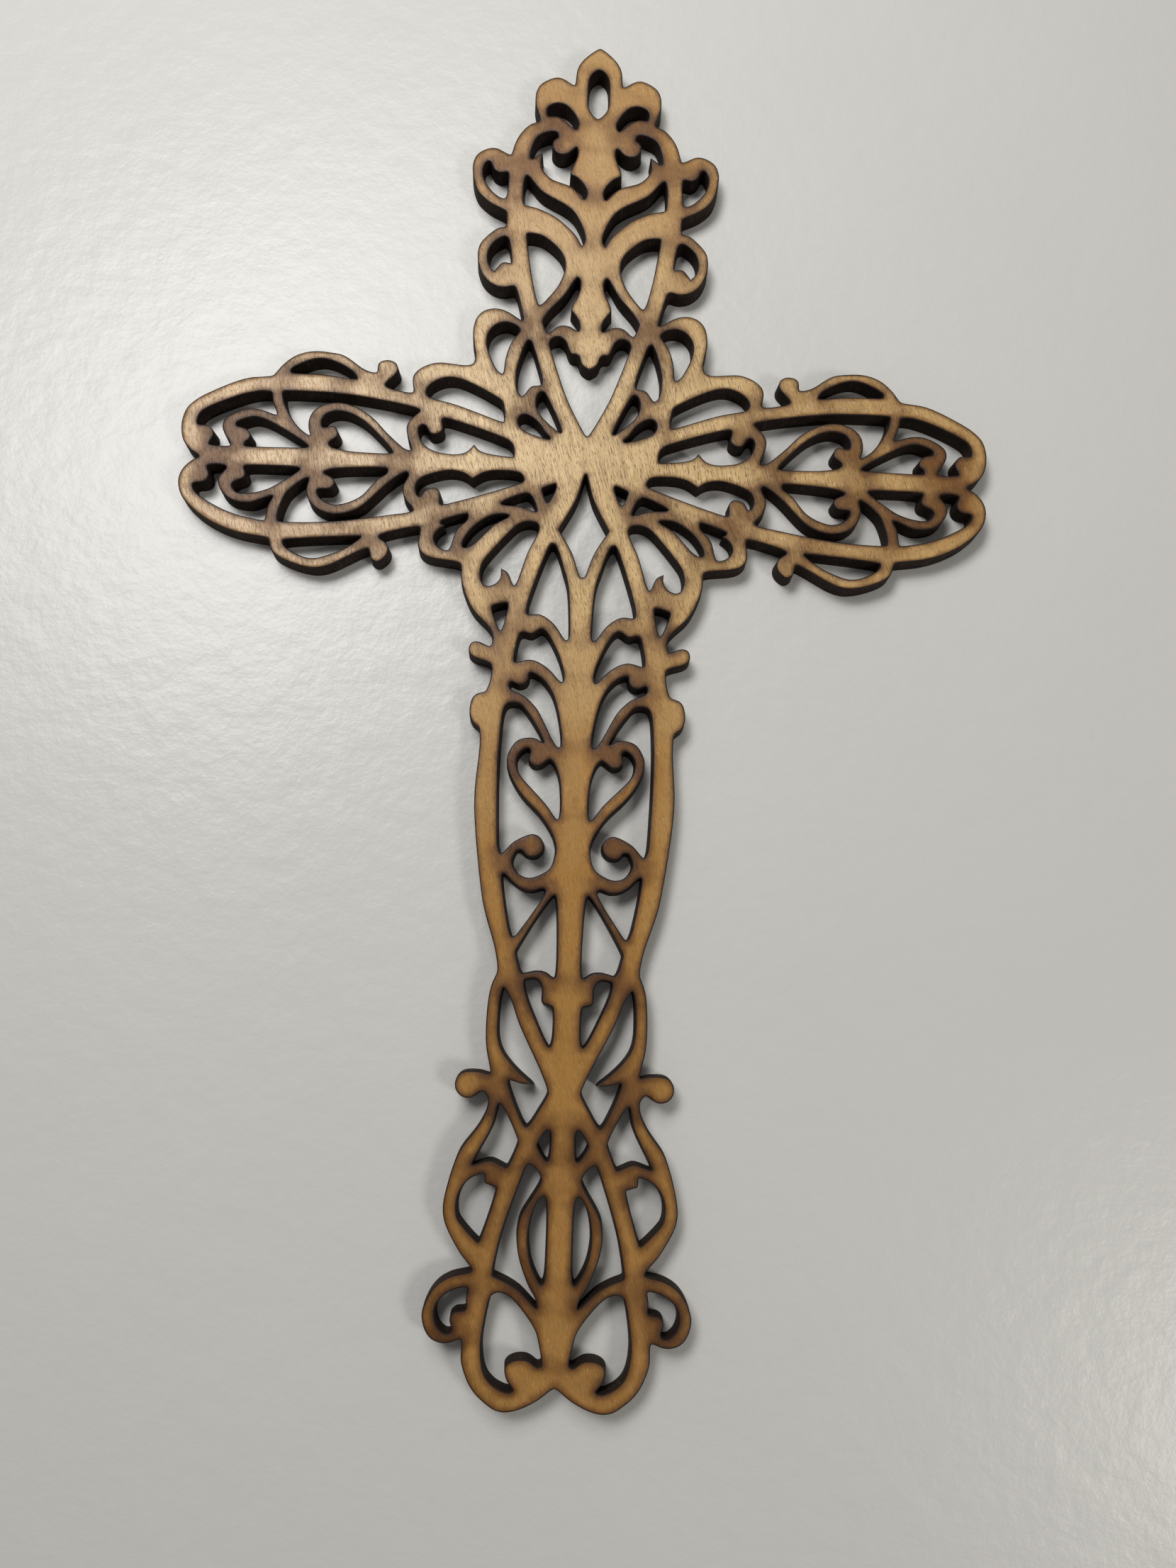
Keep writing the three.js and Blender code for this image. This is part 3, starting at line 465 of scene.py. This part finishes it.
def wall_triangles(after, rows):
    """Two triangles for each piece of the outlines, between each row and the one below it."""
    here = np.arange(len(after))
    walls = []
    for row in range(rows - 1):
        above, below = row * len(after), (row + 1) * len(after)
        walls.append(np.column_stack([below + here, below + after, above + after]))
        walls.append(np.column_stack([below + here, above + after, above + here]))
    return np.vstack(walls)


def panel_surfaces(sizes):
    """Vertices, triangles, charred triangles and painted values of the closed panel.

    The face and the back share one triangulation, and the rows of the walls join them. The
    vertices are the rows, then the inner points of the face, then those of the back.
    """
    low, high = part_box(NODE)
    top, bottom = high.z, low.z
    coarse, coarse_loop = face_outline()
    outline, loop = refined_outline(coarse, coarse_loop, sizes)
    inner = grid_within(outline, loop, sizes.face_step)
    distance, heat = cut_heat(inner, outline, loop, sizes)
    clear = distance > 0.5 * sizes.face_step
    inner, distance, heat = inner[clear], distance[clear], heat[:, clear]
    _, rim_heat = cut_heat(outline, outline, loop, sizes)

    levels = wall_levels(outline, loop, rim_heat[0], top, bottom, sizes)
    face_inner = np.column_stack([inner, np.full(len(inner), top)])
    back_inner = np.column_stack([inner, np.full(len(inner), bottom)])
    places = np.vstack(levels + [face_inner, back_inner])

    ring, rows = len(outline), len(levels)
    last_row = (rows - 1) * ring
    flat = triangulated(outline, loop, inner)
    face = flat + np.where(flat < ring, 0, last_row)
    back = flat + last_row + np.where(flat < ring, 0, len(inner))
    _, after = neighbours(loop)
    triangles = np.vstack([face, back[:, ::-1], wall_triangles(after, rows)])
    charred = np.arange(len(triangles)) >= 2 * len(face)

    soot, browning, tips = (
        np.r_[np.tile(at_rim, rows), np.tile(at_inner, 2)]
        for at_rim, at_inner in zip(rim_heat, heat)
    )
    painted = {
        "cut_distance": np.r_[np.zeros(ring * rows), distance, distance] / MM,
        "soot_heat": above_usual(soot, heat[0]),
        "browning_heat": above_usual(browning, heat[1]),
        "tip_heat": tips,
    }
    return places, triangles, charred, painted


def new_mesh(name, places, triangles):
    """A mesh object of triangles, from whole arrays."""
    mesh = bpy.data.meshes.new(name)
    mesh.vertices.add(len(places))
    mesh.vertices.foreach_set("co", places.astype(np.float32).ravel())
    mesh.loops.add(triangles.size)
    mesh.loops.foreach_set("vertex_index", triangles.astype(np.int32).ravel())
    mesh.polygons.add(len(triangles))
    mesh.polygons.foreach_set("loop_start", np.arange(0, triangles.size, 3, dtype=np.int32))
    mesh.update(calc_edges=True)
    if mesh.validate():
        raise RuntimeError(name + " has faces that a mesh can't keep")
    made = bpy.data.objects.new(name, mesh)
    bpy.context.scene.collection.objects.link(made)
    return made


# Materials


def add(tree, kind, inputs=(), **settings):
    """A node with its settings, and its inputs set to a value or linked to a socket."""
    node = tree.nodes.new(kind)
    for name, value in settings.items():
        setattr(node, name, value)
    for key, value in dict(inputs).items():
        if isinstance(value, bpy.types.NodeSocket):
            tree.links.new(value, node.inputs[key])
        else:
            node.inputs[key].default_value = value
    return node


def maths(tree, operation, *values, clamp=False):
    """The output of a Math node."""
    node = add(tree, "ShaderNodeMath", enumerate(values), operation=operation, use_clamp=clamp)
    return node.outputs[0]


def ramp(tree, value, low, high, to_low=0.0, to_high=1.0):
    """A value carried smoothly from one range to another."""
    inputs = {0: value, 1: low, 2: high, 3: to_low, 4: to_high}
    node = add(tree, "ShaderNodeMapRange", inputs, interpolation_type="SMOOTHSTEP")
    return node.outputs[0]


def swing(tree, value, reach):
    """A noise's value, between nothing and one, carried to between minus and plus a reach."""
    return maths(tree, "MULTIPLY_ADD", value, 2 * reach, -reach)


def mixed(tree, share, one, two, blend="MIX"):
    """One colour blended with another by a share."""
    node = add(tree, "ShaderNodeMix", data_type="RGBA", blend_type=blend)
    for socket, value in zip((node.inputs[0], node.inputs[6], node.inputs[7]), (share, one, two)):
        if isinstance(value, bpy.types.NodeSocket):
            tree.links.new(value, socket)
        else:
            socket.default_value = value
    return node.outputs[2]


def noise(tree, vector, cell, detail=2.0, roughness=0.5, offset=0.0):
    """Noise whose cells have the given size in metres along X, Y and Z."""
    scale = [1 / size for size in cell]
    placing = {"Vector": vector, "Scale": scale, "Location": [offset] * 3}
    placed = add(tree, "ShaderNodeMapping", placing).outputs[0]
    inputs = {"Vector": placed, "Scale": 1.0, "Detail": detail, "Roughness": roughness}
    return add(tree, "ShaderNodeTexNoise", inputs).outputs["Fac"]


def colour(value):
    """A colour property with full alpha."""
    return (*value, 1.0)


def group(name, inputs, outputs):
    """An empty node group with float or vector inputs and float outputs."""
    tree = bpy.data.node_groups.new(name, "ShaderNodeTree")
    for socket, kind in inputs.items():
        tree.interface.new_socket(socket, in_out="INPUT", socket_type=kind)
    for socket in outputs:
        tree.interface.new_socket(socket, in_out="OUTPUT", socket_type="NodeSocketFloat")
    return tree, tree.nodes.new("NodeGroupInput"), tree.nodes.new("NodeGroupOutput")


def grain_group():
    """Birch-like grain: long fibres, short dark pores and short glints, painted highlights of
    sheen, which run along the vector's Y."""
    tree, given, made = group(
        "Wood grain", {"Vector": "NodeSocketVector"}, ("Fibres", "Bands", "Pores", "PaintedGlints")
    )
    vector = given.outputs["Vector"]
    wobble = noise(tree, vector, (4 * MM, 12 * MM, 4 * MM), offset=7.3)
    sideways = maths(tree, "MULTIPLY", wobble, 1.6 * MM)
    sideways = add(tree, "ShaderNodeCombineXYZ", {0: sideways}).outputs[0]
    bent = add(tree, "ShaderNodeVectorMath", {0: vector, 1: sideways}, operation="ADD").outputs[0]
    fibres = noise(tree, bent, (0.22 * MM, 6 * MM, 1 * MM), detail=3, roughness=0.65)
    bands = noise(tree, bent, (2.4 * MM, 26 * MM, 3 * MM), detail=2, offset=3.1)
    pores = noise(tree, bent, (0.14 * MM, 1.05 * MM, 0.6 * MM), detail=1, offset=11.7)
    # Painted highlight: flecks where the wood's colour is lightened to stand for glints of sheen
    painted_glints = noise(tree, bent, (0.13 * MM, 0.95 * MM, 0.6 * MM), detail=1, offset=23.9)
    for socket, value in {
        "Fibres": fibres,
        "Bands": bands,
        "Pores": ramp(tree, pores, 0.57, 0.68),
        "PaintedGlints": ramp(tree, painted_glints, 0.6, 0.72),
    }.items():
        tree.links.new(value, made.inputs[socket])
    return tree


def smoke_group():
    """Uneven smoke: a heat's share that stains, pushed up and down by soft noise."""
    tree, given, made = group(
        "Smoke", {"Vector": "NodeSocketVector", "Heat": "NodeSocketFloat"}, ("Share",)
    )
    puffs = noise(tree, given.outputs["Vector"], (3.6 * MM, 4.4 * MM, 3 * MM), detail=2)
    specks = noise(tree, given.outputs["Vector"], (0.4 * MM, 0.6 * MM, 0.5 * MM), detail=2)
    sway = maths(tree, "ADD", swing(tree, puffs, 1.1), swing(tree, specks, 0.15))
    pushed = maths(tree, "ADD", given.outputs["Heat"], sway)
    tree.links.new(ramp(tree, pushed, -0.35, 1.05), made.inputs["Share"])
    return tree


def new_material(name):
    """A material with its Principled shader, its Object coordinates and its tree."""
    material = bpy.data.materials.new(name)
    material.use_nodes = True
    tree = material.node_tree
    shader = tree.nodes["Principled BSDF"]
    coordinates = tree.nodes.new("ShaderNodeTexCoord").outputs["Object"]
    return material, tree, shader, coordinates


def painted_value(tree, name):
    """The value painted on the mesh under a name."""
    return add(tree, "ShaderNodeAttribute", attribute_name=name).outputs["Fac"]


def bump(tree, height, distance, strength):
    """A normal pushed by a height."""
    inputs = {"Height": height, "Distance": distance, "Strength": strength}
    return add(tree, "ShaderNodeBump", inputs).outputs[0]


def hub_nearness(tree, coordinates):
    """One at the hub, and smoothly less away from it, over the reach of the paler wood."""
    shrink = (1 / PALE_REACH[0], 1 / PALE_REACH[1], 0)
    shrunk = add(tree, "ShaderNodeMapping", {"Vector": coordinates, "Scale": shrink}).outputs[0]
    away = add(tree, "ShaderNodeVectorMath", {0: shrunk}, operation="LENGTH").outputs["Value"]
    return ramp(tree, away, 0.1, 1.7, 1.0, 0.0)


def foot_nearness(tree, coordinates):
    """Nothing above the shaft, and smoothly up to 0.4 towards the foot, where the wood is browner."""
    along = add(tree, "ShaderNodeSeparateXYZ", {0: coordinates}).outputs[1]
    return ramp(tree, along, -105 * MM, -20 * MM, 0.4, 0.0)


def tanned(tree, coordinates, near_hub, near_foot, colours):
    """Bare wood, pale at the hub, and warmed to amber by the cuts and towards the foot."""
    tan = maths(tree, "MULTIPLY_ADD", painted_value(tree, "browning_heat"), 0.18, 0.9)
    patches = noise(tree, coordinates, (9 * MM, 12 * MM, 9 * MM), detail=2, offset=5.5)
    tan = maths(tree, "ADD", tan, swing(tree, patches, 0.25))
    tan = maths(tree, "ADD", tan, near_foot)
    tan = maths(tree, "SUBTRACT", tan, maths(tree, "MULTIPLY", near_hub, 0.87), clamp=True)
    return mixed(tree, tan, colour(colours.pale), colour(colours.amber))


def grained(tree, base, grains, near_hub, colours):
    """Wood with its brown fibres and pores and its painted highlights of glinting fibres, strongest
    at the hub.
    """
    strength = maths(tree, "MULTIPLY_ADD", near_hub, 0.6, 0.4)
    lines = maths(tree, "MULTIPLY_ADD", grains["Fibres"], 3.2, -1.35, clamp=True)
    lines = maths(tree, "ADD", lines, maths(tree, "MULTIPLY_ADD", grains["Bands"], 0.9, -0.4))
    lines = maths(tree, "MULTIPLY", lines, maths(tree, "MULTIPLY", strength, 0.75), clamp=True)
    dark = maths(tree, "MULTIPLY", grains["Pores"], maths(tree, "MULTIPLY", strength, 0.85))
    # Painted highlight: share of the glint colour, strongest at the hub, where the lamps' sheen lies
    bright = maths(tree, "MULTIPLY_ADD", near_hub, 0.42, 0.12)
    bright = maths(tree, "MULTIPLY", grains["PaintedGlints"], bright)
    for share, tint in ((lines, colours.fibre), (dark, colours.fibre), (bright, colours.painted_glint)):
        base = mixed(tree, share, base, colour(tint))
    return base


def drifting_smoke(tree, coordinates, smoke, near_hub):
    """Share of smoke: where the heat of the cuts adds up, and round the tips of windows."""
    heat = maths(tree, "MULTIPLY", painted_value(tree, "soot_heat"), 0.5)
    heat = maths(tree, "MULTIPLY_ADD", painted_value(tree, "browning_heat"), 0.65, heat)
    smokes = add(tree, "ShaderNodeGroup", {"Vector": coordinates, "Heat": heat}, node_tree=smoke)
    spread = maths(tree, "MULTIPLY", smokes.outputs["Share"], 0.85)
    drift = noise(tree, coordinates, (5 * MM, 3.6 * MM, 3 * MM), detail=2, offset=14.2)
    tips = maths(tree, "ADD", painted_value(tree, "tip_heat"), swing(tree, drift, 0.8))
    away_from_hub = maths(tree, "MULTIPLY_ADD", near_hub, -0.5, 0.72)
    tips = maths(tree, "MULTIPLY", ramp(tree, tips, 0.3, 1.35), away_from_hub)
    return maths(tree, "MAXIMUM", spread, tips)


def edge_smoke(tree, coordinates, distance, near_foot):
    """Share of smoke beside a cut, over an uneven reach in millimetres, longer at the foot."""
    uneven = noise(tree, coordinates, (2.2 * MM, 2.6 * MM, 2 * MM), detail=2, offset=9.1)
    reach = maths(tree, "MULTIPLY_ADD", uneven, 1.7, near_foot)
    return ramp(tree, maths(tree, "DIVIDE", distance, reach), 0.0, 1.0, 0.82, 0.0)


def wood_material(colours, grain, smoke):
    """Sanded plywood: pale at the hub, tanned between cuts, with grain, painted glints, smoke and
    burnt edges.
    """
    material, tree, shader, coordinates = new_material("scorched_plywood")
    near_hub = hub_nearness(tree, coordinates)
    near_foot = foot_nearness(tree, coordinates)
    leaning = {"Vector": coordinates, "Rotation": (0, 0, -GRAIN_TILT)}
    leaning = add(tree, "ShaderNodeMapping", leaning).outputs[0]
    grains = add(tree, "ShaderNodeGroup", {"Vector": leaning}, node_tree=grain).outputs
    smudge = drifting_smoke(tree, coordinates, smoke, near_hub)
    distance = painted_value(tree, "cut_distance")
    beside = edge_smoke(tree, coordinates, distance, near_foot)
    burnt = ramp(tree, distance, 0.02, 0.2, 0.6, 0.0)

    base = tanned(tree, coordinates, near_hub, near_foot, colours)
    base = grained(tree, base, grains, near_hub, colours)
    base = mixed(tree, smudge, base, colour(colours.soot), "MULTIPLY")
    base = mixed(tree, beside, base, colour(colours.soot), "MULTIPLY")
    base = mixed(tree, burnt, base, colour(colours.char))
    tree.links.new(base, shader.inputs["Base Color"])

    rough = maths(tree, "MULTIPLY_ADD", grains["Fibres"], 0.2, 0.18)
    rough = maths(tree, "MULTIPLY_ADD", maths(tree, "MAXIMUM", smudge, beside), 0.22, rough)
    tree.links.new(rough, shader.inputs["Roughness"])
    shader.inputs["Specular IOR Level"].default_value = 0.42
    height = maths(tree, "ADD", grains["Fibres"], grains["PaintedGlints"])
    height = maths(tree, "SUBTRACT", height, grains["Pores"])
    tree.links.new(bump(tree, height, 0.03 * MM, 0.55), shader.inputs["Normal"])
    return material


def char_material(colours, smoke):
    """Burnt wall of a cut: near-black, with greyer upright streaks between darker glue lines."""
    material, tree, shader, coordinates = new_material("charred_cut")
    streaks = noise(tree, coordinates, (0.16 * MM, 0.16 * MM, 3 * MM), detail=3, roughness=0.6)
    patches = noise(tree, coordinates, (2.5 * MM, 2.5 * MM, 1.2 * MM), detail=2, offset=2.7)
    grey = maths(tree, "MULTIPLY", ramp(tree, streaks, 0.42, 0.72), ramp(tree, patches, 0.3, 0.7))
    height = add(tree, "ShaderNodeSeparateXYZ", {0: coordinates}).outputs[2]
    from_glue = maths(tree, "PINGPONG", height, PLY / 2)
    glue = maths(tree, "MULTIPLY", ramp(tree, from_glue, 0.0, 0.09 * MM, 1.0, 0.0), 0.35)
    heat = painted_value(tree, "soot_heat")
    smokes = add(tree, "ShaderNodeGroup", {"Vector": coordinates, "Heat": heat}, node_tree=smoke)
    sooty = maths(tree, "MULTIPLY", smokes.outputs["Share"], 0.5)
    base = mixed(tree, grey, colour(colours.char), colour(colours.ash))
    for share in (glue, sooty):
        base = mixed(tree, share, base, colour(colours.char))
    tree.links.new(base, shader.inputs["Base Color"])
    tree.links.new(maths(tree, "MULTIPLY_ADD", streaks, 0.25, 0.65), shader.inputs["Roughness"])
    shader.inputs["Specular IOR Level"].default_value = 0.15
    tree.links.new(bump(tree, streaks, 0.04 * MM, 0.6), shader.inputs["Normal"])
    return material


# Operators


class CROSS_OT_panel(bpy.types.Operator):
    """Build the cross as one closed, refined panel with its wood and its charred cuts"""

    bl_idname = "cross.panel"
    bl_label = "Build the panel"

    def execute(self, context):
        scene = context.scene
        places, triangles, charred, painted = panel_surfaces(scene.cross_sizes)
        panel = new_mesh("plywood_cross", places, triangles)
        mesh = panel.data
        for name, values in painted.items():
            layer = mesh.attributes.new(name, "FLOAT", "POINT")
            layer.data.foreach_set("value", values.astype(np.float32))
        grain, smoke = grain_group(), smoke_group()
        mesh.materials.append(wood_material(scene.cross_colours, grain, smoke))
        mesh.materials.append(char_material(scene.cross_colours, smoke))
        mesh.polygons.foreach_set("material_index", charred.astype(np.int32))
        mesh.polygons.foreach_set("use_smooth", np.ones(len(triangles), bool))
        mesh.set_sharp_from_angle(angle=CREASE)
        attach(panel, BODY)
        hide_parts(NODE)
        return {"FINISHED"}


def add_floor(tint):
    """A wide pale floor under the cross, with a soft sheen."""
    corners = FLOOR_HALF * np.array([[-1, -1, 0], [1, -1, 0], [1, 1, 0], [-1, 1, 0]])
    corners[:, 2] = -FLOOR_DROP
    floor = new_mesh("floor", corners, np.array([[0, 1, 2], [0, 2, 3]]))
    material, tree, shader, coordinates = new_material("floor")
    mottle = noise(tree, coordinates, (0.03, 0.03, 0.03), detail=3)
    deeper = (*[c * 0.96 for c in tint], 1.0)
    tree.links.new(mixed(tree, mottle, colour(tint), deeper), shader.inputs["Base Color"])
    crinkle = noise(tree, coordinates, (5 * MM, 5 * MM, 5 * MM), detail=5, roughness=0.6)
    tree.links.new(bump(tree, crinkle, 0.5 * MM, 0.4), shader.inputs["Normal"])
    shader.inputs["Roughness"].default_value = 0.33
    floor.data.materials.append(material)


def add_area_light(name, place, target, size, power, tint):
    """A square light at a place, facing a target."""
    light = bpy.data.lights.new(name, "AREA")
    light.size, light.energy, light.color = size, power, tint
    lamp = bpy.data.objects.new(name, light)
    lamp.location = place
    lamp.rotation_euler = (Vector(target) - Vector(place)).to_track_quat("-Z", "Y").to_euler()
    bpy.context.scene.collection.objects.link(lamp)


class CROSS_OT_stage(bpy.types.Operator):
    """Lay the pale floor, hang the soft lights and set the camera at the photograph's angle"""

    bl_idname = "cross.stage"
    bl_label = "Set the stage"

    def execute(self, context):
        scene, stage = context.scene, context.scene.cross_stage
        add_floor(stage.floor)
        hub, shaft = (0, 0, 0), (0, -0.06, 0)
        add_area_light("window", (-0.22, 0.2, 0.5), hub, 0.2, stage.window_power, (1, 0.99, 0.99))
        add_area_light("top", (-0.06, 0.17, 0.27), hub, 0.14, stage.top_power, (1, 0.98, 0.94))
        add_area_light("side", (0.34, -0.26, 0.36), shaft, 0.12, stage.side_power, (1, 0.96, 0.9))
        world = bpy.data.worlds.new("room")
        world.use_nodes = True
        background = world.node_tree.nodes["Background"]
        background.inputs["Color"].default_value = (1.0, 0.98, 0.95, 1.0)
        background.inputs["Strength"].default_value = stage.room_strength
        scene.world = world
        scene.view_settings.view_transform = "Standard"

        camera = bpy.data.cameras.new("camera")
        camera.sensor_width, camera.lens = 36, stage.lens
        camera.clip_start, camera.clip_end = 0.01, 20
        seen = bpy.data.objects.new("camera", camera)
        seen.location = CAMERA_PLACE
        seen.rotation_euler = Euler([math.radians(a) for a in CAMERA_TURN])
        scene.collection.objects.link(seen)
        scene.camera = seen
        return {"FINISHED"}


class CROSS_PT_panel(bpy.types.Panel):
    """Lists the sizes, the colours and the steps that build the cross"""

    bl_label = "Cross"
    bl_idname = "CROSS_PT_panel"
    bl_space_type = "VIEW_3D"
    bl_region_type = "UI"
    bl_category = "Cross"

    def draw(self, context):
        for settings in (
            context.scene.cross_sizes,
            context.scene.cross_colours,
            context.scene.cross_stage,
        ):
            box = self.layout.box()
            for name in settings.__annotations__:
                box.prop(settings, name)
        for step in (CROSS_OT_panel, CROSS_OT_stage):
            self.layout.operator(step.bl_idname)


CLASSES = (
    PanelSizes,
    PanelColours,
    StageSettings,
    CROSS_OT_panel,
    CROSS_OT_stage,
    CROSS_PT_panel,
)


def register():
    """Add the classes and their settings to the scene."""
    for made in CLASSES:
        bpy.utils.register_class(made)
    bpy.types.Scene.cross_sizes = PointerProperty(type=PanelSizes)
    bpy.types.Scene.cross_colours = PointerProperty(type=PanelColours)
    bpy.types.Scene.cross_stage = PointerProperty(type=StageSettings)


def unregister():
    """Take the settings and the classes away again."""
    del bpy.types.Scene.cross_sizes
    del bpy.types.Scene.cross_colours
    del bpy.types.Scene.cross_stage
    for made in reversed(CLASSES):
        bpy.utils.unregister_class(made)


def main():
    """Build the panel and the stage."""
    register()
    bpy.ops.cross.panel()
    bpy.ops.cross.stage()


if __name__ == "__main__":
    main()
